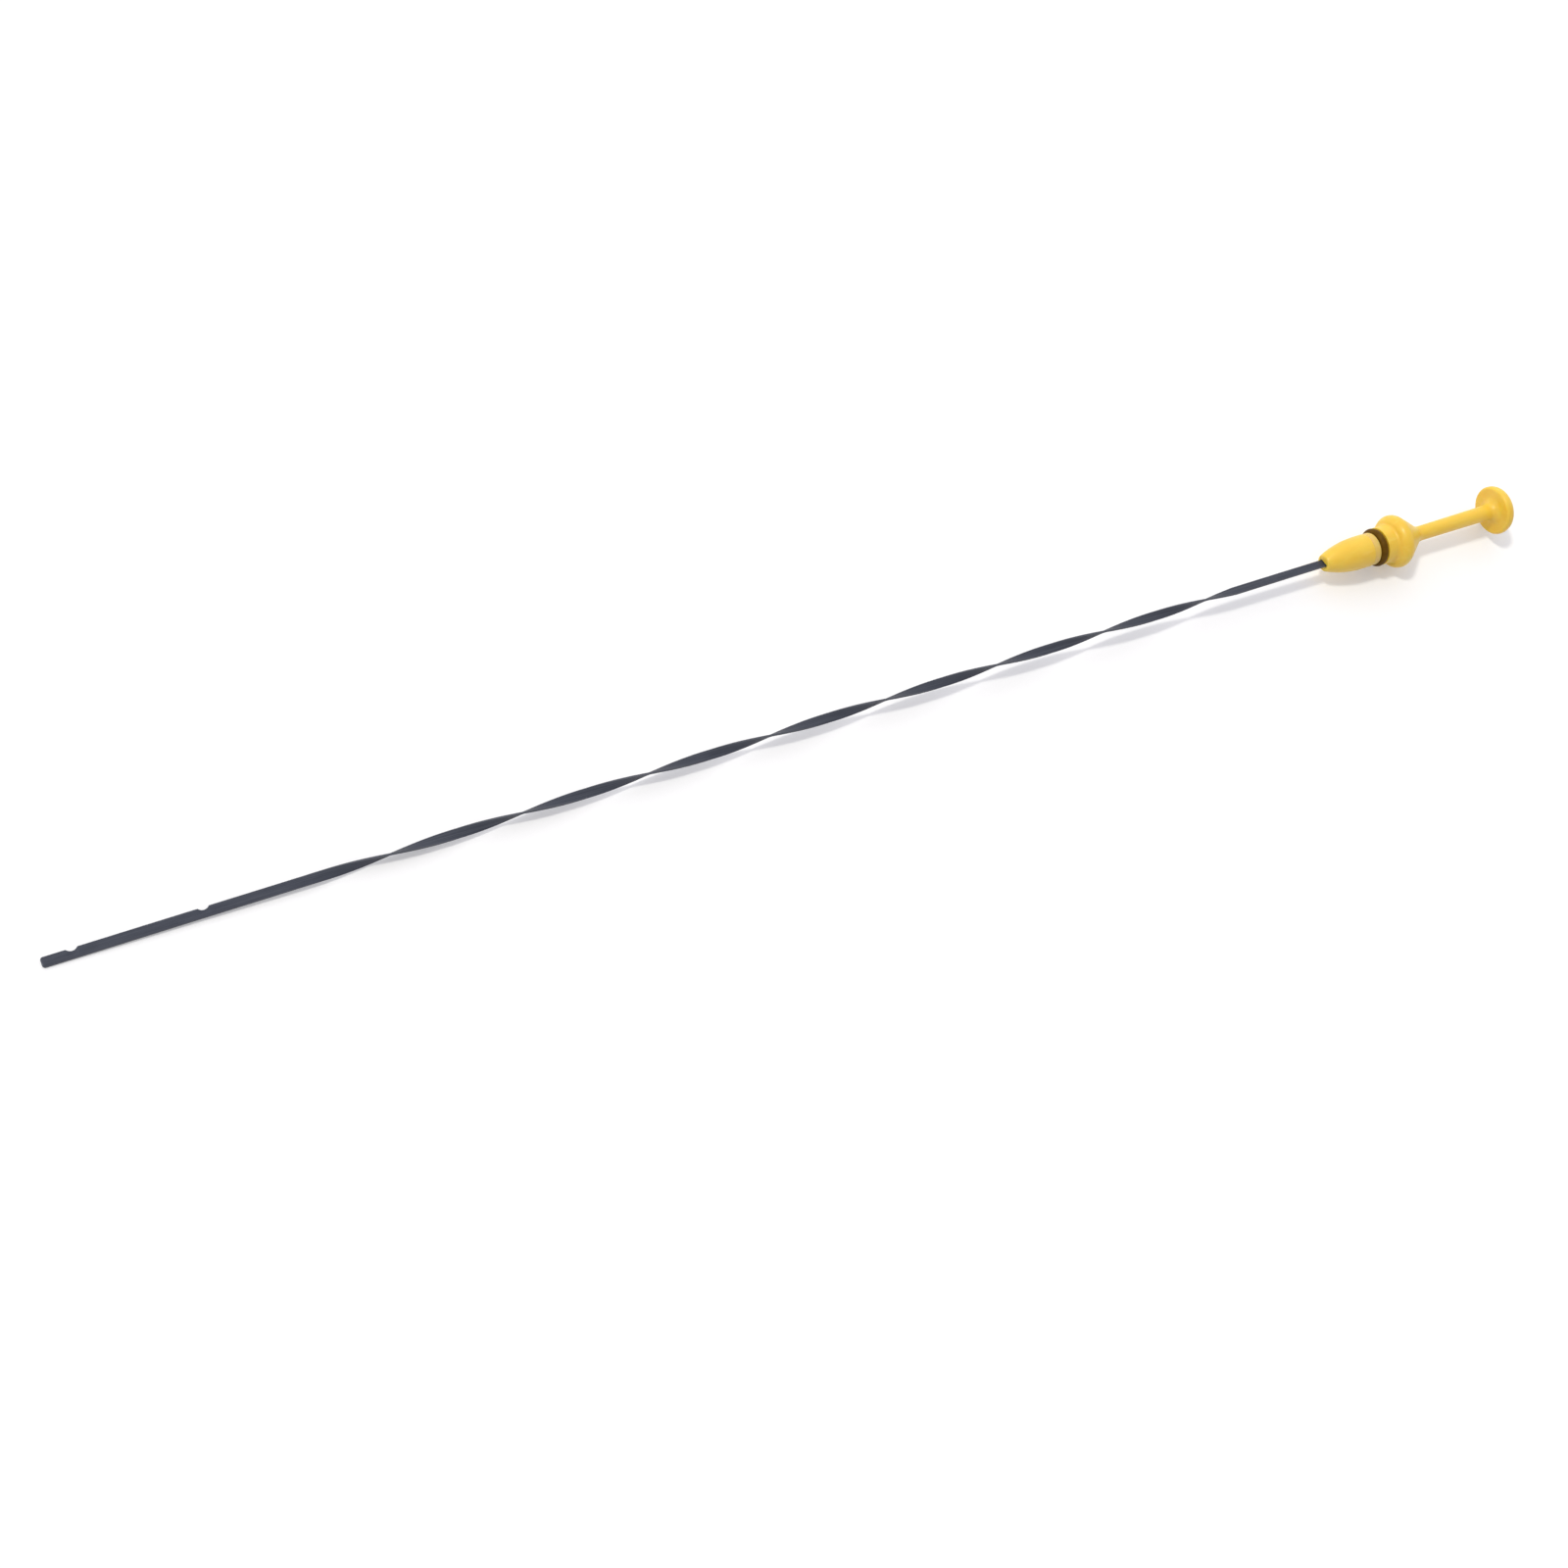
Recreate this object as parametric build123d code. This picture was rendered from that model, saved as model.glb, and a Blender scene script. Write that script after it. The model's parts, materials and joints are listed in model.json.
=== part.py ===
from build123d import *
from math import acos, asin, atan2, cos, degrees, hypot, sin
import os

# Engine oil dipstick: a twisted steel blade, a moulded pull handle and a seal ring.
# It is drawn straight along +X, with the middle of the blade's tip at zero and the knob far out.
# It is then laid down as it comes to rest: the tip's flat end and the handle's collar touch the ground.
# Sizes are in millimetres and angles in degrees.

# Steel strip that the blade is made from
blade_width = 4.0
blade_thickness = 0.9

# Blade, from its tip to the handle
tip_flat_length = 97.5
twist_length = 420.0
twist_angle = 1420.0
root_flat_length = 48.5
tip_corner_round = 1.0

# Gauge notches in one edge, the lower oil level first
notch_radius = 2.5
notch_depth = 1.1
low_notch_from_tip = 11.2
high_notch_from_tip = 58.8

# Tang, the end of the strip that the handle is moulded around
tang_length = 30.0
lock_hole_diameter = 1.8
lock_hole_from_end = 7.0

# Plug that enters the dipstick tube
nose_radius = 3.7
nose_round = 0.9
nose_length = 19.0
plug_radius = 7.4
land_length = 7.9
groove_lip_chamfer = 0.4
entry_gap = 0.4
entry_depth = 1.2

# Seal ring, and how it sits in its groove
ring_section = 3.2
ring_outer_radius = 8.6
ring_floor_gap = 0.05
ring_side_gap = 0.2

# Collar that stops on the tube, with a rounded bead and a cone behind it
neck_radius = 8.5
neck_length = 5.9
neck_fillet = 1.4
collar_radius = 12.0
collar_bead_radius = 3.6
cone_length = 12.6
cone_fillet = 6.5

# Stem and knob
stem_length = 44.3
stem_root_radius = 3.35
stem_end_radius = 3.6
knob_radius = 11.1
knob_thickness = 5.3
knob_inner_round = 0.7
knob_outer_round = 3.6
knob_fillet = 3.5

# Places along the dipstick
twist_start = tip_flat_length
twist_end = twist_start + twist_length
plug_front = twist_end + root_flat_length
nose_end = plug_front + nose_length
groove_front = nose_end + land_length
groove_back = groove_front + ring_section + 2 * ring_side_gap
ring_place = (groove_front + groove_back) / 2
collar_place = groove_back + neck_length + collar_bead_radius
cone_end = collar_place + cone_length
knob_face = cone_end + stem_length
knob_end = knob_face + knob_thickness

# Radii that follow from the seal ring
ring_middle_radius = ring_outer_radius - ring_section / 2
groove_floor_radius = ring_outer_radius - ring_section - ring_floor_gap


def strip_section(place, roll, margin=0.0):
    """Cross-section of the strip, square to X, turned by roll about X and grown by margin all round.

    A point in the middle of each broad side parts it in two, so that the twisted faces stay narrow.
    """
    half_width = blade_width / 2 + margin
    half_thickness = blade_thickness / 2 + margin
    outline = Polyline(
        (half_width, -half_thickness),
        (half_width, half_thickness),
        (0, half_thickness),
        (-half_width, half_thickness),
        (-half_width, -half_thickness),
        (0, -half_thickness),
        close=True,
    )
    across = Plane(origin=(place, 0, 0), x_dir=(0, 1, 0), z_dir=(1, 0, 0))
    return across * Rot(0, 0, roll) * make_face(outline)


def notch(from_tip):
    """Round cutter that takes one gauge notch out of the strip's +Y edge."""
    centre_y = blade_width / 2 - notch_depth + notch_radius
    return Pos(from_tip, centre_y, 0) * Cylinder(notch_radius, 2 * blade_thickness)


def tip_run():
    """Flat run of the strip at the tip, with rounded end corners and both gauge notches."""
    plan = Rectangle(tip_flat_length, blade_width, align=(Align.MIN, Align.CENTER))
    end_corners = plan.vertices().sort_by(Axis.X)[:2]
    plan = fillet(end_corners, tip_corner_round)
    run = extrude(plan, amount=blade_thickness / 2, both=True)
    return run - notch(low_notch_from_tip) - notch(high_notch_from_tip)


def twisted_run():
    """Run of the strip that turns steadily about its own middle line, as a right-hand screw."""
    section = strip_section(twist_start, 0).face()
    return Solid.extrude_linear_with_rotation(section, (twist_start, 0, 0), (twist_length, 0, 0), twist_angle)


def root_run():
    """Flat run of the strip at the handle, which goes on inside it as the tang."""
    run = extrude(strip_section(twist_end, twist_angle), amount=root_flat_length + tang_length)
    hole_place = plug_front + tang_length - lock_hole_from_end
    hole = Rot(twist_angle, 0, 0) * Pos(hole_place, 0, 0) * Cylinder(lock_hole_diameter / 2, 2 * blade_width)
    return run - hole


def make_blade():
    """The whole steel strip, in one piece."""
    return tip_run() + twisted_run() + root_run()


def plug_outline():
    """Half outline of the plug's nose, land and seal groove, as far as the neck behind the groove."""
    nose = TangentArc((nose_end, plug_radius), (plug_front, nose_radius), tangent=(-1, 0))
    front = Line((plug_front, nose_radius), (plug_front, 0))
    land = Polyline(
        (nose_end, plug_radius),
        (groove_front - groove_lip_chamfer, plug_radius),
        (groove_front, plug_radius - groove_lip_chamfer),
        (groove_front, groove_floor_radius),
        (groove_back, groove_floor_radius),
        (groove_back, 0),
        (plug_front, 0),
    )
    outline = make_face([nose, front, land])
    front_corner = outline.vertices().sort_by_distance((plug_front, nose_radius))[0]
    return fillet(front_corner, nose_round)


def collar_outline():
    """Half outline of the neck, the collar's round bead and the cone behind it, down to the stem."""
    bead_height = collar_radius - collar_bead_radius
    drop = stem_root_radius - bead_height
    touch_angle = atan2(drop, cone_length) + acos(collar_bead_radius / hypot(cone_length, drop))
    touch_place = collar_place + collar_bead_radius * cos(touch_angle)
    touch_radius = bead_height + collar_bead_radius * sin(touch_angle)
    bead = Pos(collar_place, bead_height) * Circle(collar_bead_radius)
    neck = Polyline(
        (groove_back, 0),
        (groove_back, neck_radius),
        (collar_place, neck_radius),
        (collar_place, 0),
        close=True,
    )
    cone = Polyline(
        (collar_place, 0),
        (collar_place, bead_height),
        (touch_place, touch_radius),
        (cone_end, stem_root_radius),
        (cone_end, 0),
        close=True,
    )
    outline = make_face(neck) + bead + make_face(cone)
    neck_corner = outline.vertices().sort_by_distance((collar_place - collar_bead_radius, neck_radius))[0]
    return fillet(neck_corner, neck_fillet)


def stem_outline():
    """Half outline of the slightly tapered stem and the knob, which is flat inside and round outside."""
    stem = Polyline(
        (collar_place, 0),
        (collar_place, stem_root_radius),
        (cone_end, stem_root_radius),
        (knob_face, stem_end_radius),
        (knob_face, 0),
        close=True,
    )
    knob = Polyline(
        (knob_face, 0),
        (knob_face, knob_radius),
        (knob_end, knob_radius),
        (knob_end, 0),
        close=True,
    )
    inner_rim = (knob_face, knob_radius)
    outer_rim = (knob_end, knob_radius)
    root = (knob_face, stem_end_radius)
    outline = make_face(stem) + make_face(knob)
    for place, size in ((inner_rim, knob_inner_round), (outer_rim, knob_outer_round), (root, knob_fillet)):
        corner = outline.vertices().sort_by_distance(place)[0]
        outline = fillet(corner, size)
    return outline


def make_handle(blade):
    """The yellow moulding, turned from its outline and moulded around the blade's tang."""
    outline = plug_outline() + collar_outline() + stem_outline()
    cone_foot = outline.vertices().sort_by_distance((cone_end, stem_root_radius))[0]
    outline = fillet(cone_foot, cone_fillet)
    moulding = revolve(outline, axis=Axis.X)
    entry = extrude(strip_section(plug_front, twist_angle, entry_gap), amount=entry_depth)
    return moulding - entry - blade


def make_seal_ring():
    """The O-ring, round in section, in the middle of its groove."""
    around_x = Plane(origin=(ring_place, 0, 0), z_dir=(1, 0, 0))
    return around_x * Torus(ring_middle_radius, ring_section / 2)


def rest_tilt():
    """Angle at which the straight dipstick leans on the tip's lower edge and the collar's bead."""
    rise = collar_radius - collar_bead_radius - blade_thickness / 2
    reach = hypot(collar_place, rise)
    return degrees(atan2(rise, collar_place) + asin(collar_bead_radius / reach))


def lay_down(pieces):
    """The pieces at rest on the ground, with the middle of their common box over the origin."""
    leaning = [Rot(0, -rest_tilt(), 0) * piece for piece in pieces]
    box = Compound(leaning).bounding_box()
    middle = box.center()
    return [Pos(-middle.X, -middle.Y, -box.min.Z) * piece for piece in leaning]


def main():
    """Builds the pieces, lays them down and writes one file for each."""
    blade = make_blade()
    handle = make_handle(blade)
    seal_ring = make_seal_ring()
    os.makedirs("parts", exist_ok=True)
    names = ("blade", "handle", "seal_ring")
    for name, piece in zip(names, lay_down([blade, handle, seal_ring])):
        export_step(piece, f"parts/{name}.step")


main()
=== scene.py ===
"""Looks of an engine oil dipstick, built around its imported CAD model.

The blade, the pull handle and the seal ring are each a class that holds its sizes in metres. A piece is drawn
straight along +X, from the blade's tip at zero towards the knob, and is then laid down on the middle line that
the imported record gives, so that it stands where its CAD node does.
"""

import json
import logging
import math
from dataclasses import dataclass
from enum import Enum
from typing import Any, Optional, Union

import bmesh
import bpy
from mathutils import Matrix, Quaternion, Vector


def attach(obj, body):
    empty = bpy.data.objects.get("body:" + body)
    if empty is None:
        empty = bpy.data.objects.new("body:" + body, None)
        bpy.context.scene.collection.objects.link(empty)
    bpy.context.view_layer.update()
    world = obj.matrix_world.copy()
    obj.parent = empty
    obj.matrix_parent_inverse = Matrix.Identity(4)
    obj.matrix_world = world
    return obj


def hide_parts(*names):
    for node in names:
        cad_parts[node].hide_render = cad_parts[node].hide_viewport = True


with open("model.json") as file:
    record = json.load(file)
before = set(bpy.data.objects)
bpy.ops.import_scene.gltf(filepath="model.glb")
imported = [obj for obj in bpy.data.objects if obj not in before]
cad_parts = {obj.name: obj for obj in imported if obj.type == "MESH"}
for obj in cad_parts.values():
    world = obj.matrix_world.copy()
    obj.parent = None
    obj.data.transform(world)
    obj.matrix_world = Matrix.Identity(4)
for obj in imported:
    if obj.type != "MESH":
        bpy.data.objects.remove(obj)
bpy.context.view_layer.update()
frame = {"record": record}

LOG = logging.getLogger("dipstick")
MM = 0.001

Colour = tuple[float, float, float, float]
# Where a ramp starts and ends, and its result at each
Span = tuple[float, float, float, float]
OutlinePoint = tuple[float, float]
Number = Union["Field", float]


class Node(Enum):
    """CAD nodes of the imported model."""

    BLADE = "blade"
    HANDLE = "handle"
    SEAL_RING = "seal_ring"


class Slot(Enum):
    """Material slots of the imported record."""

    STEEL = "blade_steel"
    PLASTIC = "handle_plastic"
    RUBBER = "seal_rubber"


@dataclass(frozen=True)
class Pattern:
    """A soft random pattern: how fine it is along and across the part, and its finer layers."""

    along: float
    across: float
    detail: float
    roughness: float


class Field:
    """An output socket of a node tree, with arithmetic that adds Math nodes."""

    def __init__(self, writer: "TreeWriter", socket: bpy.types.NodeSocket) -> None:
        """Keeps the socket and the tree's writer."""
        self.writer = writer
        self.socket = socket

    def __add__(self, other: Number) -> "Field":
        """This number plus another."""
        return self.writer.math("ADD", self, other)

    def __sub__(self, other: Number) -> "Field":
        """This number minus another."""
        return self.writer.math("SUBTRACT", self, other)

    def __mul__(self, other: Number) -> "Field":
        """This number times another."""
        return self.writer.math("MULTIPLY", self, other)

    def __truediv__(self, other: Number) -> "Field":
        """This number over another."""
        return self.writer.math("DIVIDE", self, other)

    def at_least(self, other: Number) -> "Field":
        """The larger of this number and another."""
        return self.writer.math("MAXIMUM", self, other)

    def at_most(self, other: Number) -> "Field":
        """The smaller of this number and another."""
        return self.writer.math("MINIMUM", self, other)

    def above(self, other: Number) -> "Field":
        """1 where this number is greater than another, and 0 elsewhere."""
        return self.writer.math("GREATER_THAN", self, other)

    def size(self) -> "Field":
        """This number without its sign."""
        return self.writer.math("ABSOLUTE", self)

    def square(self) -> "Field":
        """This number times itself."""
        return self * self

    def root(self) -> "Field":
        """The square root of this number, or of zero where it is negative."""
        return self.writer.math("SQRT", self.at_least(0.0))


class TreeWriter:
    """Adds nodes to one node tree and links them by short calls."""

    def __init__(self, tree: bpy.types.NodeTree) -> None:
        """Keeps the tree that the nodes go into."""
        self.tree = tree

    def node(self, kind: str, inputs: Optional[dict[Any, Any]] = None, **settings: Any) -> bpy.types.Node:
        """Adds one node.

        Args:
            kind: Blender's name for the type of node.
            inputs: a constant or a Field for each input socket, by the socket's name or number.
            settings: properties of the node, set before its inputs.

        Returns:
            The new node.
        """
        made = self.tree.nodes.new(kind)
        for name, value in settings.items():
            setattr(made, name, value)
        for key, value in (inputs or {}).items():
            self.feed(made.inputs[key], value)
        return made

    def feed(self, socket: bpy.types.NodeSocket, value: Any) -> None:
        """Links a Field to an input socket, or sets the socket to a constant.

        Args:
            socket: the input socket.
            value: a Field or a constant of the socket's type.
        """
        if isinstance(value, Field):
            self.tree.links.new(value.socket, socket)
        else:
            socket.default_value = value

    def field(self, kind: str, inputs: Optional[dict[Any, Any]] = None, out: Any = 0, **settings: Any) -> Field:
        """Adds one node and takes one of its outputs.

        Args:
            kind: Blender's name for the type of node.
            inputs: a constant or a Field for each input socket.
            out: name or number of the output socket.
            settings: properties of the node.

        Returns:
            The chosen output.
        """
        return Field(self, self.node(kind, inputs, **settings).outputs[out])

    def math(self, operation: str, *operands: Number) -> Field:
        """Adds a Math node and returns its result."""
        return self.field("ShaderNodeMath", dict(enumerate(operands)), operation=operation)

    def ramp(self, value: Field, start: Number, end: Number, low: Number, high: Number) -> Field:
        """Maps a number from one range to another and stops at both ends.

        Args:
            value: the number to map.
            start: where the range begins.
            end: where the range ends.
            low: the result at the beginning.
            high: the result at the end.

        Returns:
            The mapped number.
        """
        inputs = {0: value, 1: start, 2: end, 3: low, 4: high}
        return self.field("ShaderNodeMapRange", inputs, clamp=True)

    def split(self, vector: Field) -> tuple[Field, Field, Field]:
        """The three numbers of a vector."""
        outputs = self.node("ShaderNodeSeparateXYZ", {0: vector}).outputs
        return Field(self, outputs[0]), Field(self, outputs[1]), Field(self, outputs[2])

    def combine(self, x: Number, y: Number, z: Number) -> Field:
        """A vector of three numbers."""
        return self.field("ShaderNodeCombineXYZ", {0: x, 1: y, 2: z})

    def blend(self, share: Field, first: Any, second: Any) -> Field:
        """Mixes two colours.

        Args:
            share: how much of the second colour, from 0 to 1.
            first: a colour or a Field of colours.
            second: a colour or a Field of colours.

        Returns:
            The mixed colour.
        """
        return self.field("ShaderNodeMix", {0: share, 6: first, 7: second}, out=2, data_type="RGBA")

    def noise(self, place: Field, pattern: Pattern) -> Field:
        """Adds a soft random pattern.

        Args:
            place: where the pattern is read.
            pattern: how fine it is and what layers it has.

        Returns:
            A number from 0 to 1.
        """
        scale = (pattern.along, pattern.across, pattern.across)
        spot = self.field("ShaderNodeMapping", {"Vector": place, "Scale": scale})
        inputs = {"Vector": spot, "Scale": 1.0, "Detail": pattern.detail, "Roughness": pattern.roughness}
        return self.field("ShaderNodeTexNoise", inputs)


class Surface(TreeWriter):
    """The node tree of one material, around its Principled shader."""

    def __init__(self, name: str) -> None:
        """Makes a material of that name with an untouched Principled shader."""
        self.material = bpy.data.materials.new(name)
        self.material.use_nodes = True
        super().__init__(self.material.node_tree)
        self.shader = self.tree.nodes["Principled BSDF"]

    def dress(self, **inputs: Any) -> None:
        """Sets or links the shader's inputs, whose names have underscores for spaces."""
        for name, value in inputs.items():
            self.feed(self.shader.inputs[name.replace("_", " ")], value)

    def bumps(self, height: Field, distance: float, strength: float, under: Optional[Field] = None) -> Field:
        """Turns a height pattern into a normal.

        Args:
            height: the pattern, from 0 to 1.
            distance: how high its peaks stand, in metres.
            strength: how much of it shows, from 0 to 1.
            under: a normal that it is added to.

        Returns:
            The new normal.
        """
        inputs = {"Height": height, "Distance": distance, "Strength": strength}
        if under is not None:
            inputs["Normal"] = under
        return self.field("ShaderNodeBump", inputs)

    def object_place(self) -> Field:
        """Object coordinates, which are row coordinates on every piece here."""
        return self.field("ShaderNodeTexCoord", out="Object")


@dataclass(frozen=True)
class SteelFinish:
    """Blued spring steel, half matt: rolled along the strip, a little brighter on its slit edges."""

    name: str = "blued_strip_steel"
    colour: Colour = (0.062, 0.068, 0.088, 1.0)
    dark_patch: Colour = (0.049, 0.054, 0.071, 1.0)
    rolled_line: Colour = (0.084, 0.091, 0.112, 1.0)
    edge_colour: Colour = (0.134, 0.139, 0.157, 1.0)
    metal_share: float = 0.40
    glancing_tint: Colour = (0.22, 0.22, 0.24, 1.0)
    grain: Pattern = Pattern(60.0, 9000.0, 4.0, 0.6)
    lines: Pattern = Pattern(22.0, 2600.0, 3.0, 0.55)
    shear: Pattern = Pattern(3800.0, 500.0, 2.0, 0.5)
    mottle: Pattern = Pattern(90.0, 420.0, 5.0, 0.62)
    scratch: Pattern = Pattern(260.0, 5200.0, 2.0, 0.4)
    patch_span: Span = (0.35, 0.68, 0.0, 1.0)
    line_span: Span = (0.46, 0.72, 0.0, 0.9)
    scratch_span: Span = (0.66, 0.74, 0.0, 0.35)
    edge_span: Span = (0.86, 1.0, 0.0, 0.8)
    shear_span: Span = (0.3, 0.7, 0.4, 1.0)
    worn_by_lines: float = 0.45
    worn_by_grain: float = 0.25
    worn_by_mottle: float = 0.30
    roughness_span: Span = (0.36, 0.64, 0.49, 0.33)
    grain_height: float = 0.003 * MM
    grain_strength: float = 0.5

    def material(self) -> bpy.types.Material:
        """Makes the material, which follows the strip by its strip_place and edge_share attributes."""
        made = Surface(self.name)
        strip = made.field("ShaderNodeAttribute", out="Vector", attribute_name="strip_place")
        edge = made.field("ShaderNodeAttribute", out="Fac", attribute_name="edge_share").size()
        kinds = (self.grain, self.lines, self.shear, self.mottle, self.scratch)
        grain, lines, sheared, mottle, scratch = (made.noise(strip, kind) for kind in kinds)
        scored = made.ramp(scratch, *self.scratch_span)
        bare = made.ramp(edge, *self.edge_span) * made.ramp(sheared, *self.shear_span)
        base = made.blend(made.ramp(mottle, *self.patch_span), self.colour, self.dark_patch)
        base = made.blend(made.ramp(lines, *self.line_span), base, self.rolled_line)
        base = made.blend(bare.at_least(scored * grain), base, self.edge_colour)
        worn = lines * self.worn_by_lines + grain * self.worn_by_grain + mottle * self.worn_by_mottle
        made.dress(
            Base_Color=base,
            Metallic=self.metal_share,
            Specular_Tint=self.glancing_tint,
            Roughness=made.ramp(worn, *self.roughness_span),
            Normal=made.bumps(grain, self.grain_height, self.grain_strength),
        )
        return made.material


@dataclass(frozen=True)
class PlasticFinish:
    """Golden-yellow moulded plastic, half gloss, with flow clouding and a fine spark-eroded grain."""

    name: str = "golden_moulded_plastic"
    colour: Colour = (0.890, 0.602, 0.060, 1.0)
    deep_colour: Colour = (0.850, 0.538, 0.037, 1.0)
    pale_colour: Colour = (0.915, 0.660, 0.118, 1.0)
    # a darker, greyer colour that the lip in front of the seal is blended towards
    lip_band_colour: Colour = (0.740, 0.510, 0.140, 1.0)
    refraction: float = 1.54
    glow_share: float = 0.35
    glow_depth: float = 4.0 * MM
    glow_spread: tuple[float, float, float] = (1.0, 0.55, 0.12)
    cloud: Pattern = Pattern(46.75, 85.0, 3.0, 0.55)
    streak: Pattern = Pattern(76.5, 425.0, 2.0, 0.5)
    grain: Pattern = Pattern(2600.0, 2600.0, 3.0, 0.65)
    rub: Pattern = Pattern(187.0, 187.0, 4.0, 0.6)
    cloud_span: Span = (0.36, 0.66, 0.0, 1.0)
    streak_span: Span = (0.55, 0.78, 0.0, 0.5)
    lip_band_span: Span = (0.3, 0.7, 0.45, 0.85)
    worn_by_rub: float = 0.7
    worn_by_grain: float = 0.3
    roughness_span: Span = (0.34, 0.66, 0.30, 0.44)
    grain_height: float = 0.018 * MM
    grain_strength: float = 0.35

    def material(self) -> bpy.types.Material:
        """Makes the material, on Object coordinates and the lip_share attribute."""
        made = Surface(self.name)
        place = made.object_place()
        lip = made.field("ShaderNodeAttribute", out="Fac", attribute_name="lip_share")
        kinds = (self.cloud, self.streak, self.grain, self.rub)
        cloud, streak, grain, rub = (made.noise(place, kind) for kind in kinds)
        base = made.blend(made.ramp(cloud, *self.cloud_span), self.colour, self.deep_colour)
        base = made.blend(made.ramp(streak, *self.streak_span), base, self.pale_colour)
        # the lip in front of the seal turns darker and greyer, in patches from the rub pattern
        base = made.blend(lip * made.ramp(rub, *self.lip_band_span), base, self.lip_band_colour)
        worn = rub * self.worn_by_rub + grain * self.worn_by_grain
        made.dress(
            Base_Color=base,
            Roughness=made.ramp(worn, *self.roughness_span),
            IOR=self.refraction,
            Subsurface_Weight=self.glow_share,
            Subsurface_Scale=self.glow_depth,
            Subsurface_Radius=self.glow_spread,
            Normal=made.bumps(grain, self.grain_height, self.grain_strength),
        )
        return made.material


@dataclass(frozen=True)
class RubberFinish:
    """Dark brown seal rubber, dull, with a dusty bloom and a fine moulded skin."""

    name: str = "brown_seal_rubber"
    colour: Colour = (0.108, 0.050, 0.0016, 1.0)
    bloom_colour: Colour = (0.155, 0.082, 0.005, 1.0)
    gloss: float = 0.09
    bloom: Pattern = Pattern(420.0, 420.0, 4.0, 0.6)
    skin: Pattern = Pattern(5200.0, 5200.0, 2.0, 0.5)
    bloom_span: Span = (0.45, 0.75, 0.0, 0.8)
    worn_by_each: float = 0.5
    roughness_span: Span = (0.35, 0.65, 0.38, 0.56)
    skin_height: float = 0.02 * MM
    skin_strength: float = 0.5

    def material(self) -> bpy.types.Material:
        """Makes the material, on Object coordinates."""
        made = Surface(self.name)
        place = made.object_place()
        bloom, skin = (made.noise(place, kind) for kind in (self.bloom, self.skin))
        worn = bloom * self.worn_by_each + skin * self.worn_by_each
        made.dress(
            Base_Color=made.blend(made.ramp(bloom, *self.bloom_span), self.colour, self.bloom_colour),
            Roughness=made.ramp(worn, *self.roughness_span),
            Specular_IOR_Level=self.gloss,
            Normal=made.bumps(skin, self.skin_height, self.skin_strength),
        )
        return made.material


@dataclass(frozen=True)
class RestLine:
    """The dipstick's middle line at rest, from the middle of the blade's tip towards the knob."""

    tip: Vector
    lean: float

    @classmethod
    def from_record(cls, record: dict[str, Any], land_middle: float) -> "RestLine":
        """Reads the line off the plug's mount.

        Args:
            record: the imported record.
            land_middle: how far the middle of the plug's straight land is from the tip.

        Returns:
            The line.
        """
        mount = record["mounts"][0]
        towards_tip = Vector(mount["axis"])
        tip = Vector(mount["pos_m"]) + towards_tip * land_middle
        return cls(tip, math.atan2(-towards_tip.z, -towards_tip.x))

    def matrix(self) -> Matrix:
        """Takes a piece that is drawn straight along +X to its place at rest."""
        return Matrix.Translation(self.tip) @ Matrix.Rotation(-self.lean, 4, "Y")


class Workshop:
    """What the pieces share: meshes from points, cuts, normals and their place in the frame."""

    FLAT_FACE_WEIGHT: int = 100

    @staticmethod
    def piece(name: str, mesh: bpy.types.Mesh) -> bpy.types.Object:
        """Makes an object of a mesh, at the origin of the scene."""
        made = bpy.data.objects.new(name, mesh)
        bpy.context.scene.collection.objects.link(made)
        return made

    @staticmethod
    def bake(piece: bpy.types.Object) -> None:
        """Turns a piece and its modifiers into a plain mesh."""
        graph = bpy.context.evaluated_depsgraph_get()
        solid = piece.evaluated_get(graph)
        mesh = bpy.data.meshes.new_from_object(solid, preserve_all_data_layers=True, depsgraph=graph)
        piece.modifiers.clear()
        old, piece.data = piece.data, mesh
        mesh.name = piece.name
        bpy.data.meshes.remove(old)

    @staticmethod
    def smooth(piece: bpy.types.Object, sharp_angle: float) -> None:
        """Shades a piece smoothly, with its flat faces kept flat.

        Args:
            piece: a plain mesh object.
            sharp_angle: edges that turn by more than this stay sharp.
        """
        piece.data.shade_smooth()
        piece.data.set_sharp_from_angle(angle=sharp_angle)
        weighted = piece.modifiers.new("flat_faces", "WEIGHTED_NORMAL")
        weighted.keep_sharp = True
        weighted.weight = Workshop.FLAT_FACE_WEIGHT
        Workshop.bake(piece)

    @staticmethod
    def cut(piece: bpy.types.Object, cutter: bpy.types.Object) -> None:
        """Takes a cutter's shape out of a piece and deletes the cutter.

        Args:
            piece: a closed mesh object.
            cutter: a closed mesh object.
        """
        difference = piece.modifiers.new("cut", "BOOLEAN")
        difference.operation = "DIFFERENCE"
        difference.solver = "EXACT"
        difference.object = cutter
        Workshop.bake(piece)
        bpy.data.objects.remove(cutter)

    @staticmethod
    def block(name: str, low: Vector, high: Vector, roll: float) -> bpy.types.Object:
        """Makes a box between two corners, rolled about the X axis.

        Args:
            name: the object's name.
            low: its lowest corner before the roll.
            high: its highest corner before the roll.
            roll: angle about X.

        Returns:
            The box.
        """
        shape = bmesh.new()
        bmesh.ops.create_cube(shape, size=1.0)
        size = high - low
        stretch = Matrix.Diagonal((size.x, size.y, size.z, 1.0))
        place = Matrix.Rotation(roll, 4, "X") @ Matrix.Translation((low + high) / 2) @ stretch
        bmesh.ops.transform(shape, matrix=place, verts=shape.verts)
        mesh = bpy.data.meshes.new(name)
        shape.to_mesh(mesh)
        shape.free()
        return Workshop.piece(name, mesh)

    @staticmethod
    def seat(piece: bpy.types.Object, node: Node, slot: Slot) -> None:
        """Lets a finished piece stand for its CAD node, on the one body of the part.

        Args:
            piece: the finished piece.
            node: the CAD node that it replaces.
            slot: not used.
        """
        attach(piece, "root")
        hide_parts(node.value)


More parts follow.
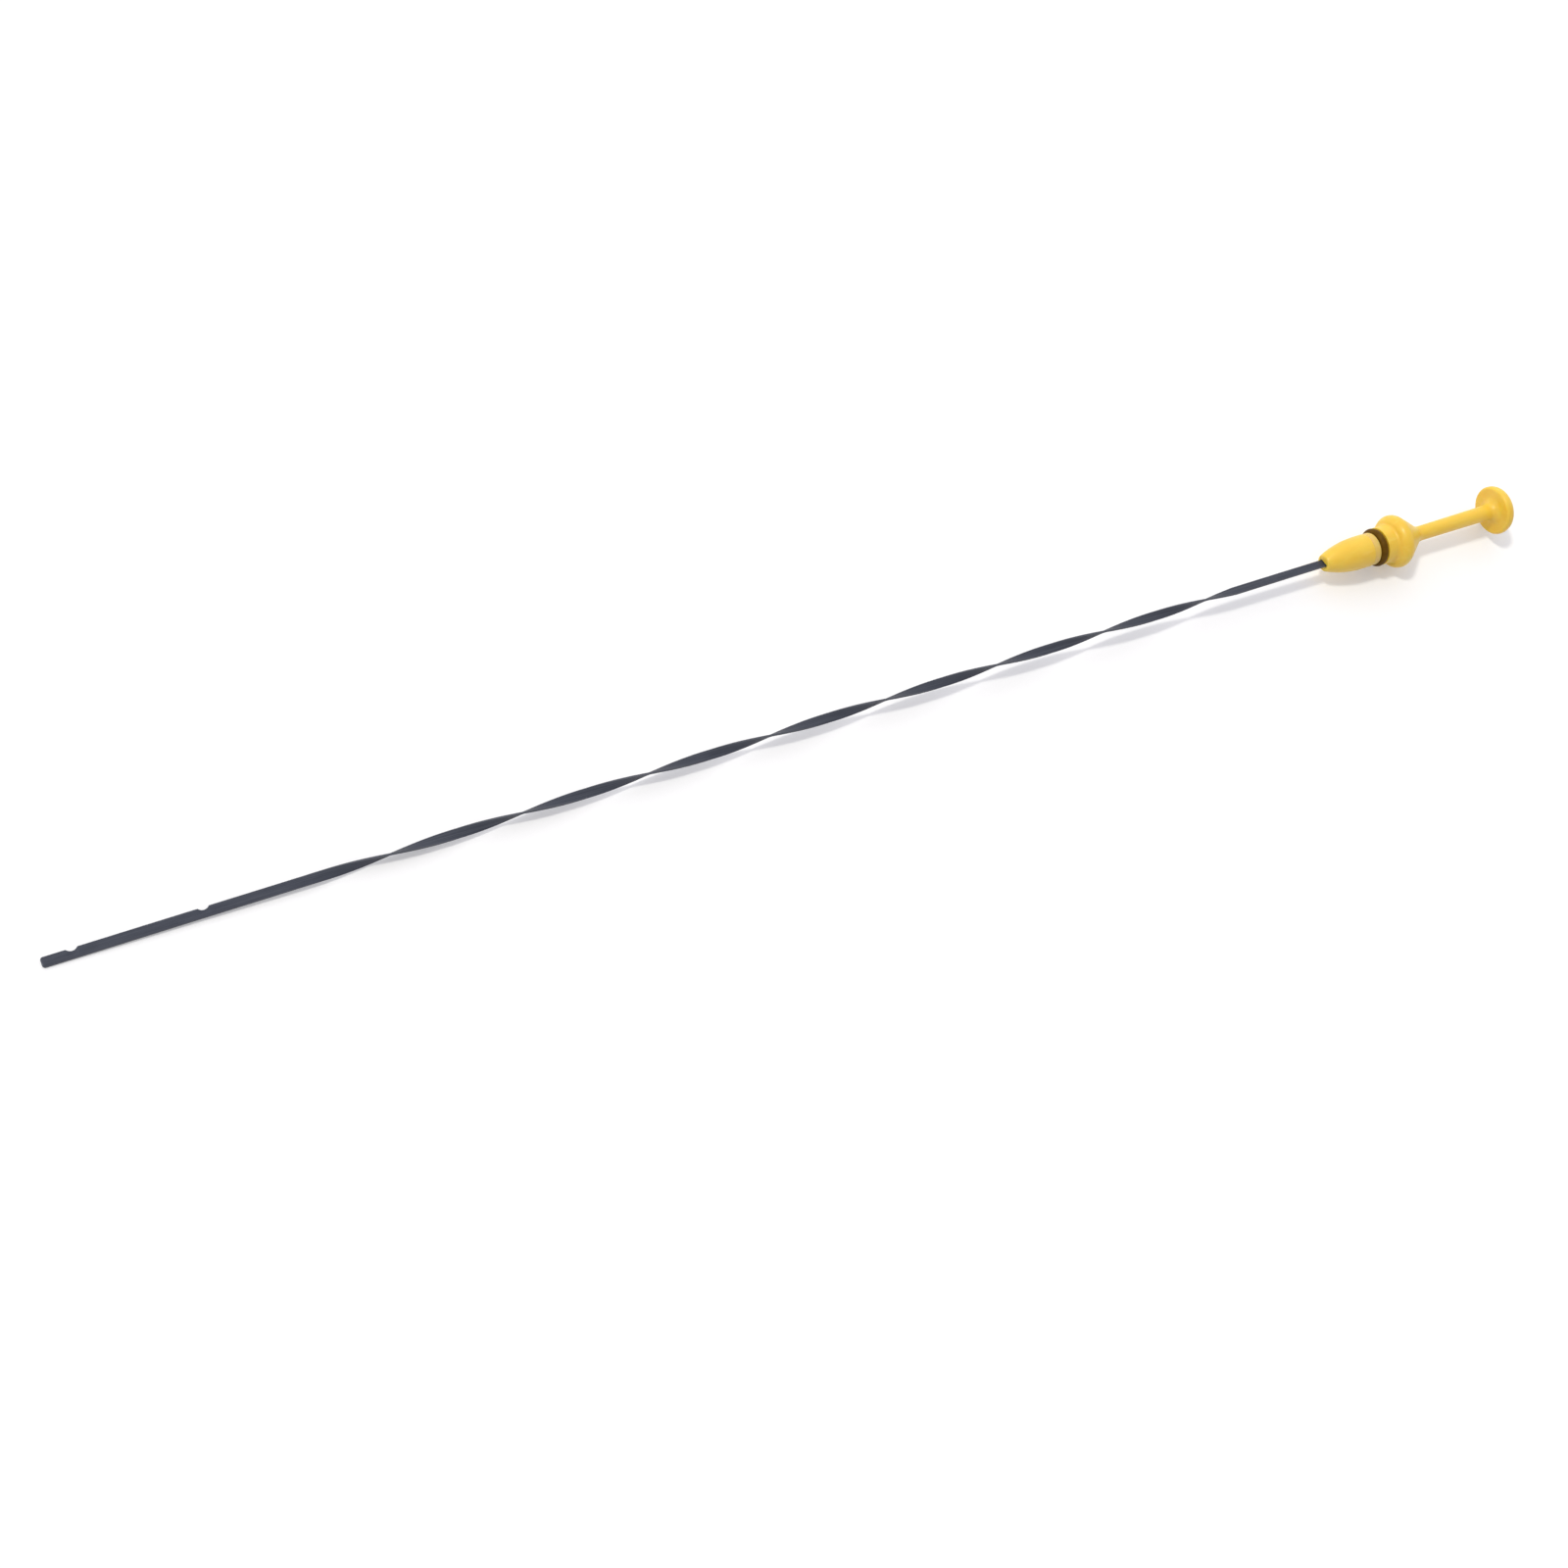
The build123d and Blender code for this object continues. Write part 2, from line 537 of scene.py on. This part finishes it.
@dataclass(frozen=True)
class MouldLine:
    """The fine raised line that a mould leaves where its halves meet, on both sides of a turned piece."""

    angle: float
    half_width: float
    height: float


@dataclass(frozen=True)
class Turning:
    """A mesh turned about the X axis from an outline of (along, radius) points."""

    outline: list[OutlinePoint]
    columns: int
    ring: bool = False
    mould_line: Optional[MouldLine] = None
    widest_line: float = 0.4
    on_axis: float = 1e-7

    def angles(self, radius: float) -> list[tuple[float, float]]:
        """The angle of each column at a radius, and how far the surface stands out there.

        Args:
            radius: the outline's radius.

        Returns:
            Pairs of an angle and a height.
        """
        step = 2 * math.pi / self.columns
        if self.mould_line is None:
            return [(i * step, 0.0) for i in range(self.columns)]
        line = self.mould_line
        reach = min(line.half_width / radius, step * self.widest_line)
        sides: list[tuple[float, float]] = []
        for start in (line.angle, line.angle + math.pi):
            sides += [(start - reach, 0.0), (start, line.height), (start + reach, 0.0)]
            sides += [(start + i * step, 0.0) for i in range(1, self.columns // 2)]
        return sides

    def mesh(self, name: str) -> bpy.types.Mesh:
        """Makes the closed mesh, facing outwards.

        Args:
            name: the mesh's name.

        Returns:
            The mesh.
        """
        shape = bmesh.new()
        rings: list[list[bmesh.types.BMVert]] = []
        for along, radius in self.outline:
            if radius < self.on_axis:
                rings.append([shape.verts.new((along, 0.0, 0.0))])
                continue
            rings.append([
                shape.verts.new((along, (radius + out) * math.cos(turn), (radius + out) * math.sin(turn)))
                for turn, out in self.angles(radius)
            ])
        pairs = list(zip(rings, rings[1:]))
        if self.ring:
            pairs.append((rings[-1], rings[0]))
        for first, second in pairs:
            self.join(shape, first, second)
        bmesh.ops.recalc_face_normals(shape, faces=shape.faces)
        mesh = bpy.data.meshes.new(name)
        shape.to_mesh(mesh)
        shape.free()
        return mesh

    @staticmethod
    def join(shape: bmesh.types.BMesh, first: list[bmesh.types.BMVert], second: list[bmesh.types.BMVert]) -> None:
        """Adds the faces between two rings, either of which may be a single point on the axis.

        Args:
            shape: the mesh in the making.
            first: the vertices of one ring.
            second: the vertices of the next ring.
        """
        count = max(len(first), len(second))
        if count == 1:
            return
        for i in range(count):
            corners = [first[i % len(first)], first[(i + 1) % len(first)]]
            corners += [second[(i + 1) % len(second)], second[i % len(second)]]
            shape.faces.new(list(dict.fromkeys(corners)))


class Outline:
    """Corner points of a turned outline, each with the radius that rounds it."""

    STEP: float = math.radians(6.0)

    def __init__(self) -> None:
        """Starts with no corner."""
        self.corners: list[tuple[Vector, float]] = []

    def corner(self, along: float, radius: float, rounding: float = 0.0) -> "Outline":
        """Adds a corner.

        Args:
            along: its place along the axis.
            radius: its distance from the axis.
            rounding: radius of the arc that rounds it.

        Returns:
            The outline itself.
        """
        self.corners.append((Vector((along, radius)), rounding))
        return self

    def sweep(self, middle: Vector, radius: float, start: float, end: float) -> None:
        """Adds the points of an arc.

        Args:
            middle: the arc's centre.
            radius: its radius.
            start: the angle of its first point, from the axis.
            end: the angle of its last point.
        """
        count = max(2, math.ceil(abs(end - start) / self.STEP))
        for k in range(count + 1):
            turn = start + (end - start) * k / count
            self.corner(middle.x + radius * math.cos(turn), middle.y + radius * math.sin(turn))

    def points(self) -> list[OutlinePoint]:
        """The outline as points, with an arc at each rounded corner."""
        made: list[OutlinePoint] = []
        last = len(self.corners) - 1
        for i, (place, rounding) in enumerate(self.corners):
            if rounding == 0.0 or i in (0, last):
                made.append((place.x, place.y))
            else:
                made += self.arc(self.corners[i - 1][0], place, self.corners[i + 1][0], rounding)
        return made

    def arc(self, before: Vector, place: Vector, after: Vector, rounding: float) -> list[OutlinePoint]:
        """The points of the arc that rounds one corner.

        Args:
            before: the corner before it.
            place: the corner itself.
            after: the corner after it.
            rounding: the arc's radius.

        Returns:
            Points from the first straight side to the second.
        """
        back = (before - place).normalized()
        on = (after - place).normalized()
        half = back.angle(on) / 2
        middle = place + (back + on).normalized() * (rounding / math.sin(half))
        start = place + back * (rounding / math.tan(half)) - middle
        turn = start.angle_signed(place + on * (rounding / math.tan(half)) - middle)
        count = max(2, math.ceil(abs(turn) / self.STEP))
        spots = [middle + Matrix.Rotation(-turn * k / count, 2) @ start for k in range(count + 1)]
        return [(spot.x, spot.y) for spot in spots]


@dataclass(frozen=True)
class GaugeBlade:
    """The steel strip: a flat tip with two gauge notches, a steady twist, and a flat root in the handle."""

    width: float = 4.0 * MM
    thickness: float = 0.9 * MM
    edge_round: float = 0.16 * MM
    edge_steps: int = 3
    tip_run: float = 97.5 * MM
    twist_run: float = 420.0 * MM
    root_run: float = 78.5 * MM
    twist: float = math.radians(1420.0)
    tip_corner: float = 1.0 * MM
    notch_radius: float = 2.5 * MM
    notch_depth: float = 1.1 * MM
    low_notch: float = 11.2 * MM
    high_notch: float = 58.8 * MM
    corner_stations: int = 14
    tip_stations: int = 900
    twist_stations: int = 1400
    root_stations: int = 40
    sharp_angle: float = math.radians(42.0)

    def values(self, line: RestLine, material: bpy.types.Material) -> dict[str, tuple[str, Any]]:
        """The tree's inputs, by name.

        Args:
            line: where the strip lies.
            material: what it is made of.

        Returns:
            The type of socket and the value of each input.
        """
        lengths = {
            "Width": self.width,
            "Thickness": self.thickness,
            "Edge round": self.edge_round,
            "Tip run": self.tip_run,
            "Twist run": self.twist_run,
            "Root run": self.root_run,
            "Twist": self.twist,
            "Tip corner": self.tip_corner,
            "Notch radius": self.notch_radius,
            "Notch depth": self.notch_depth,
            "Low notch": self.low_notch,
            "High notch": self.high_notch,
            "Lean": line.lean,
        }
        counts = {
            "Corner stations": self.corner_stations,
            "Tip stations": self.tip_stations,
            "Twist stations": self.twist_stations,
            "Root stations": self.root_stations,
            "Edge steps": self.edge_steps,
        }
        made = {name: ("NodeSocketFloat", value) for name, value in lengths.items()}
        made |= {name: ("NodeSocketInt", value) for name, value in counts.items()}
        made["Tip"] = ("NodeSocketVector", tuple(line.tip))
        made["Material"] = ("NodeSocketMaterial", material)
        return made

    def tree(self, values: dict[str, tuple[str, Any]]) -> tuple[bpy.types.NodeTree, dict[str, str]]:
        """Builds the node tree that draws, notches, twists and lays down the strip.

        Args:
            values: the tree's inputs.

        Returns:
            The tree, and the identifier of each input's socket.
        """
        tree = bpy.data.node_groups.new("twisted_strip", "GeometryNodeTree")
        tree.interface.new_socket("Geometry", in_out="OUTPUT", socket_type="NodeSocketGeometry")
        names = {}
        for name, (kind, _) in values.items():
            names[name] = tree.interface.new_socket(name, in_out="INPUT", socket_type=kind).identifier
        write = TreeWriter(tree)
        given = write.node("NodeGroupInput")
        size = {name: Field(write, given.outputs[name]) for name in values}
        strip = self.straight_strip(write, size)
        strip = self.shaped_edges(write, size, strip)
        strip = self.twisted(write, size, strip)
        strip = self.laid_down(write, size, strip)
        strip = write.field("GeometryNodeRealizeInstances", {0: strip})
        strip = write.field("GeometryNodeSetMaterial", {"Geometry": strip, "Material": size["Material"]})
        write.node("NodeGroupOutput", {"Geometry": strip})
        return tree, names

    @staticmethod
    def straight_strip(write: TreeWriter, size: dict[str, Field]) -> Field:
        """Sweeps the rounded section along X, with more stations where the edges have detail.

        Args:
            write: the tree's writer.
            size: the tree's inputs.

        Returns:
            The plain strip.
        """
        index = write.field("GeometryNodeInputIndex")
        bend = size["Corner stations"]
        first = bend + size["Tip stations"]
        second = first + size["Twist stations"]
        third = second + size["Root stations"]
        corner = size["Tip corner"]
        turn = write.ramp(index, 0.0, bend, 0.0, math.pi / 2)
        along = corner - corner * write.math("COSINE", turn)
        along = along + write.ramp(index, bend, first, 0.0, size["Tip run"] - corner)
        along = along + write.ramp(index, first, second, 0.0, size["Twist run"])
        along = along + write.ramp(index, second, third, 0.0, size["Root run"])
        spots = {"Count": third + 1.0, "Position": write.combine(along, 0.0, 0.0)}
        points = write.field("GeometryNodePoints", spots)
        spine = write.field("GeometryNodePointsToCurves", {"Points": points})
        box = {"Width": size["Width"], "Height": size["Thickness"]}
        section = write.field("GeometryNodeCurvePrimitiveQuadrilateral", box, mode="RECTANGLE")
        rounding = {"Curve": section, "Radius": size["Edge round"], "Count": size["Edge steps"]}
        section = write.field("GeometryNodeFilletCurve", rounding, mode="POLY")
        sweep = {"Curve": spine, "Profile Curve": section, "Fill Caps": True}
        return write.field("GeometryNodeCurveToMesh", sweep)

    @staticmethod
    def shaped_edges(write: TreeWriter, size: dict[str, Field], strip: Field) -> Field:
        """Rounds the tip's corners, sinks the gauge notches into the +Y edge, and notes where the surface is.

        Args:
            write: the tree's writer.
            size: the tree's inputs.
            strip: the plain strip.

        Returns:
            The shaped strip.
        """
        place = write.field("GeometryNodeInputPosition")
        x, y, z = write.split(place)
        half = size["Width"] * 0.5
        edge = {"Geometry": strip, "Name": "edge_share", "Value": y / half}
        strip = write.field("GeometryNodeStoreNamedAttribute", edge, data_type="FLOAT", domain="POINT")
        corner = size["Tip corner"]
        lower = half - corner + (corner.square() - (corner - x).at_least(0.0).square()).root()
        upper = lower
        for notch in (size["Low notch"], size["High notch"]):
            radius = size["Notch radius"]
            floor = half - size["Notch depth"] + radius - (radius.square() - (x - notch).square()).root()
            upper = upper.at_most(floor)
        upper_side = y.above(0.0)
        reach = lower + (upper - lower) * upper_side
        shaped = write.combine(x, y * reach / half, z)
        strip = write.field("GeometryNodeSetPosition", {"Geometry": strip, "Position": shaped})
        noted = {"Geometry": strip, "Name": "strip_place", "Value": write.field("GeometryNodeInputPosition")}
        return write.field("GeometryNodeStoreNamedAttribute", noted, data_type="FLOAT_VECTOR", domain="POINT")

    @staticmethod
    def twisted(write: TreeWriter, size: dict[str, Field], strip: Field) -> Field:
        """Turns the strip steadily about its middle line, as a right-hand screw.

        Args:
            write: the tree's writer.
            size: the tree's inputs.
            strip: the shaped strip.

        Returns:
            The twisted strip.
        """
        place = write.field("GeometryNodeInputPosition")
        along = write.split(place)[0]
        end = size["Tip run"] + size["Twist run"]
        turn = write.ramp(along, size["Tip run"], end, 0.0, size["Twist"])
        spun = {"Vector": place, "Center": (0.0, 0.0, 0.0), "Angle": turn}
        spot = write.field("ShaderNodeVectorRotate", spun, rotation_type="X_AXIS")
        return write.field("GeometryNodeSetPosition", {"Geometry": strip, "Position": spot})

    @staticmethod
    def laid_down(write: TreeWriter, size: dict[str, Field], strip: Field) -> Field:
        """Leans the strip and moves its tip to its place at rest.

        Args:
            write: the tree's writer.
            size: the tree's inputs.
            strip: the twisted strip.

        Returns:
            The strip at rest.
        """
        lean = write.combine(0.0, size["Lean"] * -1.0, 0.0)
        move = {"Geometry": strip, "Translation": size["Tip"], "Rotation": lean}
        return write.field("GeometryNodeTransform", move)

    def build(self, line: RestLine, finish: SteelFinish) -> bpy.types.Object:
        """Makes the blade and puts it in the frame.

        Args:
            line: where the dipstick lies.
            finish: what the strip is made of.

        Returns:
            The finished piece.
        """
        values = self.values(line, finish.material())
        tree, names = self.tree(values)
        blade = Workshop.piece("gauge_blade", bpy.data.meshes.new("gauge_blade"))
        strip = blade.modifiers.new("strip", "NODES")
        strip.node_group = tree
        for name, (_, value) in values.items():
            strip[names[name]] = value
        Workshop.bake(blade)
        Workshop.smooth(blade, self.sharp_angle)
        Workshop.seat(blade, Node.BLADE, Slot.STEEL)
        return blade


@dataclass(frozen=True)
class SealRing:
    """The rubber O-ring, round in section, with the fine flash line of its mould round the outside."""

    place: float = 594.7 * MM
    outer_radius: float = 8.6 * MM
    section: float = 3.2 * MM
    flash_height: float = 0.035 * MM
    flash_half_angle: float = math.radians(2.5)
    section_steps: int = 64
    columns: int = 160
    sharp_angle: float = math.radians(20.0)

    def outline(self) -> list[OutlinePoint]:
        """The ring's round section, with the flash at its outermost point."""
        middle = self.outer_radius - self.section / 2
        step = 2 * (math.pi - self.flash_half_angle) / (self.section_steps - 1)
        made = [(self.flash_half_angle + step * i, self.section / 2) for i in range(self.section_steps)]
        made.append((0.0, self.section / 2 + self.flash_height))
        return [(self.place + r * math.sin(turn), middle + r * math.cos(turn)) for turn, r in made]

    def build(self, line: RestLine, finish: RubberFinish) -> bpy.types.Object:
        """Makes the ring and puts it in the frame.

        Args:
            line: where the dipstick lies.
            finish: what the ring is made of.

        Returns:
            The finished piece.
        """
        mesh = Turning(self.outline(), self.columns, ring=True).mesh("seal_o_ring")
        mesh.transform(line.matrix())
        mesh.materials.append(finish.material())
        ring = Workshop.piece("seal_o_ring", mesh)
        Workshop.smooth(ring, self.sharp_angle)
        Workshop.seat(ring, Node.SEAL_RING, Slot.RUBBER)
        return ring


@dataclass(frozen=True)
class PullHandle:
    """The yellow moulding: plug, seal groove, collar, stem and pull knob, moulded around the blade's tang."""

    plug_front: float = 566.0 * MM
    nose_radius: float = 3.7 * MM
    nose_round: float = 0.9 * MM
    nose_length: float = 19.0 * MM
    nose_steps: int = 10
    plug_radius: float = 7.4 * MM
    land_length: float = 7.9 * MM
    lip_length: float = 3.4 * MM
    lip_drop: float = 0.12 * MM
    lip_line_width: float = 0.40 * MM
    lip_line_depth: float = 0.28 * MM
    lip_line_round: float = 0.10 * MM
    lip_round: float = 0.5 * MM
    source_chamfer: float = 0.4 * MM
    groove_width: float = 3.6 * MM
    groove_radius: float = 5.35 * MM
    neck_radius: float = 8.5 * MM
    neck_edge: float = 0.25 * MM
    neck_length: float = 5.9 * MM
    neck_fillet: float = 1.4 * MM
    collar_radius: float = 12.0 * MM
    bead_radius: float = 3.6 * MM
    cone_length: float = 12.6 * MM
    cone_fillet: float = 6.5 * MM
    stem_length: float = 44.3 * MM
    stem_root: float = 3.35 * MM
    stem_end: float = 3.6 * MM
    knob_radius: float = 11.1 * MM
    knob_thickness: float = 5.3 * MM
    knob_inner_round: float = 1.2 * MM
    knob_outer_round: float = 3.6 * MM
    knob_fillet: float = 3.5 * MM
    gate_radius: float = 1.3 * MM
    gate_floor: float = 0.91 * MM
    gate_depth: float = 0.25 * MM
    entry_gap: float = 0.4 * MM
    entry_depth: float = 1.2 * MM
    tang_length: float = 30.0 * MM
    tang_gap: float = 0.01 * MM
    mould_line_half_width: float = 0.16 * MM
    mould_line_height: float = 0.05 * MM
    columns: int = 128
    sharp_angle: float = math.radians(35.0)

    @property
    def nose_end(self) -> float:
        """Where the nose meets the plug's straight land."""
        return self.plug_front + self.nose_length

    @property
    def groove_front(self) -> float:
        """Where the land ends at the seal groove."""
        return self.nose_end + self.land_length

    @property
    def lip_start(self) -> float:
        """Where the fine groove parts the lip in front of the seal from the land."""
        return self.groove_front - self.lip_length

    @property
    def land_middle(self) -> float:
        """The middle of the land's straight length in the source, where the record's mount is."""
        return (self.nose_end + self.groove_front - self.source_chamfer) / 2

    @property
    def lip_radius(self) -> float:
        """The lip's radius, a little less than the land's."""
        return self.plug_radius - self.lip_drop

    @property
    def groove_back(self) -> float:
        """Where the neck begins behind the seal groove."""
        return self.groove_front + self.groove_width

    @property
    def collar_place(self) -> float:
        """The middle of the collar's bead."""
        return self.groove_back + self.neck_length + self.bead_radius

    @property
    def cone_end(self) -> float:
        """Where the cone behind the collar runs out on the stem."""
        return self.collar_place + self.cone_length

    @property
    def knob_face(self) -> float:
        """The knob's inner face."""
        return self.cone_end + self.stem_length

    @property
    def knob_end(self) -> float:
        """The knob's outer face."""
        return self.knob_face + self.knob_thickness

    def nose(self, outline: Outline) -> None:
        """Adds the plug's front and its bullet-shaped nose, an arc that runs out along the land.

        Args:
            outline: the outline in the making.
        """
        rise = self.plug_radius - self.nose_radius
        bend = (self.nose_length ** 2 + rise ** 2) / (2 * rise)
        outline.corner(self.plug_front, 0.0)
        outline.corner(self.plug_front, self.nose_radius, self.nose_round)
        for i in range(1, self.nose_steps + 1):
            back = self.nose_length * (1 - i / self.nose_steps)
            outline.corner(self.nose_end - back, self.plug_radius - bend + math.sqrt(bend ** 2 - back ** 2))

    def bead(self, outline: Outline) -> None:
        """Adds the hollow where the neck ends, the collar's bead, and the cone that leaves it for the stem.

        Args:
            outline: the outline in the making.
        """
        bead = Vector((self.collar_place, self.collar_radius - self.bead_radius))
        rise = self.neck_radius + self.neck_fillet - bead.y
        reach = math.sqrt((self.bead_radius + self.neck_fillet) ** 2 - rise ** 2)
        hollow = Vector((bead.x - reach, bead.y + rise))
        drop = self.stem_root - bead.y
        run = math.hypot(self.cone_length, drop)
        leave = math.atan2(drop, self.cone_length) + math.acos(self.bead_radius / run)
        outline.sweep(hollow, self.neck_fillet, -math.pi / 2, math.atan2(-rise, reach))
        outline.sweep(bead, self.bead_radius, math.atan2(rise, -reach), leave)
        outline.corner(self.cone_end, self.stem_root, self.cone_fillet)

    def outline(self) -> list[OutlinePoint]:
        """The moulding's whole outline, from the plug's front to the knob's outer end."""
        outline = Outline()
        self.nose(outline)
        outline.corner(self.lip_start - self.lip_line_width / 2, self.plug_radius, self.lip_line_round)
        outline.corner(self.lip_start, self.plug_radius - self.lip_line_depth)
        outline.corner(self.lip_start + self.lip_line_width / 2, self.lip_radius, self.lip_line_round)
        outline.corner(self.groove_front, self.lip_radius, self.lip_round)
        outline.corner(self.groove_front, self.groove_radius)
        outline.corner(self.groove_back, self.groove_radius)
        outline.corner(self.groove_back, self.neck_radius, self.neck_edge)
        self.bead(outline)
        outline.corner(self.knob_face, self.stem_end, self.knob_fillet)
        outline.corner(self.knob_face, self.knob_radius, self.knob_inner_round)
        outline.corner(self.knob_end, self.knob_radius, self.knob_outer_round)
        outline.corner(self.knob_end, self.gate_radius, self.gate_depth)
        outline.corner(self.knob_end - self.gate_depth, self.gate_floor)
        outline.corner(self.knob_end - self.gate_depth, 0.0)
        return outline.points()

    def mark_lip(self, mesh: bpy.types.Mesh) -> None:
        """Notes which points are on the lip in front of the seal, where the colour is blended darker and greyer.

        Args:
            mesh: the handle, still straight along +X.
        """
        share = mesh.attributes.new("lip_share", "FLOAT", "POINT")
        for point in mesh.vertices:
            share.data[point.index].value = float(self.lip_start < point.co.x <= self.groove_front)

    def build(self, line: RestLine, blade: GaugeBlade, finish: PlasticFinish) -> bpy.types.Object:
        """Makes the handle, with the slot that the blade goes into, and puts it in the frame.

        Args:
            line: where the dipstick lies.
            blade: the strip that it is moulded around.
            finish: what the handle is made of.

        Returns:
            The finished piece.
        """
        seam = MouldLine(blade.twist, self.mould_line_half_width, self.mould_line_height)
        mesh = Turning(self.outline(), self.columns, mould_line=seam).mesh("pull_handle")
        mesh.materials.append(finish.material())
        handle = Workshop.piece("pull_handle", mesh)
        for gap, depth in ((self.entry_gap, self.entry_depth), (self.tang_gap, self.tang_length)):
            high = Vector((self.plug_front + depth, blade.width / 2 + gap, blade.thickness / 2 + gap))
            low = Vector((self.plug_front - depth, -high.y, -high.z))
            Workshop.cut(handle, Workshop.block("tang_slot", low, high, blade.twist))
        self.mark_lip(handle.data)
        handle.data.transform(line.matrix())
        Workshop.smooth(handle, self.sharp_angle)
        Workshop.seat(handle, Node.HANDLE, Slot.PLASTIC)
        return handle


@dataclass(frozen=True)
class PhotoCamera:
    """The camera, at the photograph's viewing angle and perspective."""

    lens_mm: float = 54.0
    sensor_mm: float = 36.0
    place: tuple[float, float, float] = (-0.41713, -0.26660, 0.81953)
    aim: tuple[float, float, float] = (-0.04549, -0.01892, 0.0)
    roll: float = math.radians(35.317)

    def build(self) -> None:
        """Makes the camera and gives it to the scene."""
        data = bpy.data.cameras.new("photo_camera")
        data.lens = self.lens_mm
        data.sensor_width = self.sensor_mm
        camera = bpy.data.objects.new("photo_camera", data)
        bpy.context.scene.collection.objects.link(camera)
        level = (Vector(self.aim) - Vector(self.place)).to_track_quat("-Z", "Y")
        camera.rotation_mode = "QUATERNION"
        camera.rotation_quaternion = level @ Quaternion((0.0, 0.0, 1.0), self.roll)
        camera.location = self.place
        bpy.context.scene.camera = camera


@dataclass(frozen=True)
class FarLamp:
    """A lamp far away, which lights the whole table evenly and casts the blade's shadow."""

    name: str
    comes_from: tuple[float, float, float]
    spread: float
    strength: float
    colour: tuple[float, float, float]

    def build(self) -> None:
        """Makes the lamp."""
        data = bpy.data.lights.new(self.name, "SUN")
        data.angle = self.spread
        data.energy = self.strength
        data.color = self.colour
        lamp = bpy.data.objects.new(self.name, data)
        bpy.context.scene.collection.objects.link(lamp)
        lamp.location = self.comes_from
        lamp.rotation_mode = "QUATERNION"
        lamp.rotation_quaternion = (-Vector(self.comes_from)).to_track_quat("-Z", "Y")


@dataclass(frozen=True)
class Studio:
    """The white table, the lamps and the room around them."""

    table_half: float = 6.0
    table_colour: Colour = (0.80, 0.80, 0.80, 1.0)
    shown_table_colour: Colour = (0.80, 0.80, 0.80, 1.0)
    table_lift: float = 0.235
    room_colour: Colour = (0.945, 0.935, 1.0, 1.0)
    room_dim: float = 0.46
    room_bright: float = 1.50
    room_light_from: tuple[float, float, float] = (0.05, 0.85, 0.50)
    room_span: Span = (-0.3, 1.0, 0.0, 1.0)
    white: Colour = (1.0, 1.0, 1.0, 1.0)
    overhead: FarLamp = FarLamp("overhead", (-1.7, 0.90, 3.4), math.radians(7.0), 1.24, (1.0, 0.985, 0.90))

    @staticmethod
    def seen(write: TreeWriter) -> Field:
        """1 for the rays that show the background: from the camera, in reflections and through glass."""
        rays = write.node("ShaderNodeLightPath").outputs
        shown = Field(write, rays["Is Camera Ray"])
        shown = shown.at_least(Field(write, rays["Is Glossy Ray"]))
        return shown.at_least(Field(write, rays["Is Transmission Ray"]))

    def table(self) -> None:
        """Makes the table top: it takes shadows, and is white to the camera without more light on the object."""
        material = bpy.data.materials.new("white_table")
        material.use_nodes = True
        material.node_tree.nodes.clear()
        write = TreeWriter(material.node_tree)
        seen = self.seen(write)
        colour = write.blend(seen, self.table_colour, self.shown_table_colour)
        paper = write.field("ShaderNodeBsdfDiffuse", {"Color": colour})
        lift = seen * self.table_lift
        glow = write.field("ShaderNodeEmission", {"Color": self.white, "Strength": lift})
        both = write.field("ShaderNodeAddShader", {0: paper, 1: glow})
        write.node("ShaderNodeOutputMaterial", {"Surface": both})
        half = self.table_half
        corners = [(-half, -half, 0.0), (half, -half, 0.0), (half, half, 0.0), (-half, half, 0.0)]
        mesh = bpy.data.meshes.new("white_table")
        mesh.from_pydata(corners, [], [(0, 1, 2, 3)])
        mesh.materials.append(material)
        Workshop.piece("white_table", mesh)

    def room(self) -> None:
        """Makes the room: brighter above and behind the table than in front, white to the camera and in reflections."""
        world = bpy.data.worlds.new("studio_room")
        bpy.context.scene.world = world
        world.use_nodes = True
        world.node_tree.nodes.clear()
        write = TreeWriter(world.node_tree)
        direction = write.field("ShaderNodeTexCoord", out="Generated")
        facing = write.field(
            "ShaderNodeVectorMath",
            {0: direction, 1: tuple(Vector(self.room_light_from).normalized())},
            out="Value",
            operation="DOT_PRODUCT",
        )
        share = write.ramp(facing, *self.room_span)
        strength = share * share * share * (self.room_bright - self.room_dim) + self.room_dim
        light = write.field("ShaderNodeBackground", {"Color": self.room_colour, "Strength": strength})
        white = write.field("ShaderNodeBackground", {"Color": self.white, "Strength": 1.0})
        sky = write.field("ShaderNodeMixShader", {0: self.seen(write), 1: light, 2: white})
        write.node("ShaderNodeOutputWorld", {"Surface": sky})

    def build(self) -> None:
        """Makes the table, the room and the lamps."""
        self.table()
        self.room()
        self.overhead.build()
        bpy.context.scene.view_settings.view_transform = "Standard"


def report(piece: bpy.types.Object) -> None:
    """Logs a finished piece's name and number of faces."""
    LOG.info("%s: %d faces", piece.name, len(piece.data.polygons))


def main() -> None:
    """Builds the blade, the seal ring and the handle, then the studio and the camera."""
    logging.basicConfig(level=logging.INFO, format="%(name)s: %(message)s")
    blade, ring, handle = GaugeBlade(), SealRing(), PullHandle()
    line = RestLine.from_record(frame["record"], handle.land_middle)
    report(blade.build(line, SteelFinish()))
    report(ring.build(line, RubberFinish()))
    report(handle.build(line, blade, PlasticFinish()))
    Studio().build()
    PhotoCamera().build()


if __name__ == "__main__":
    main()
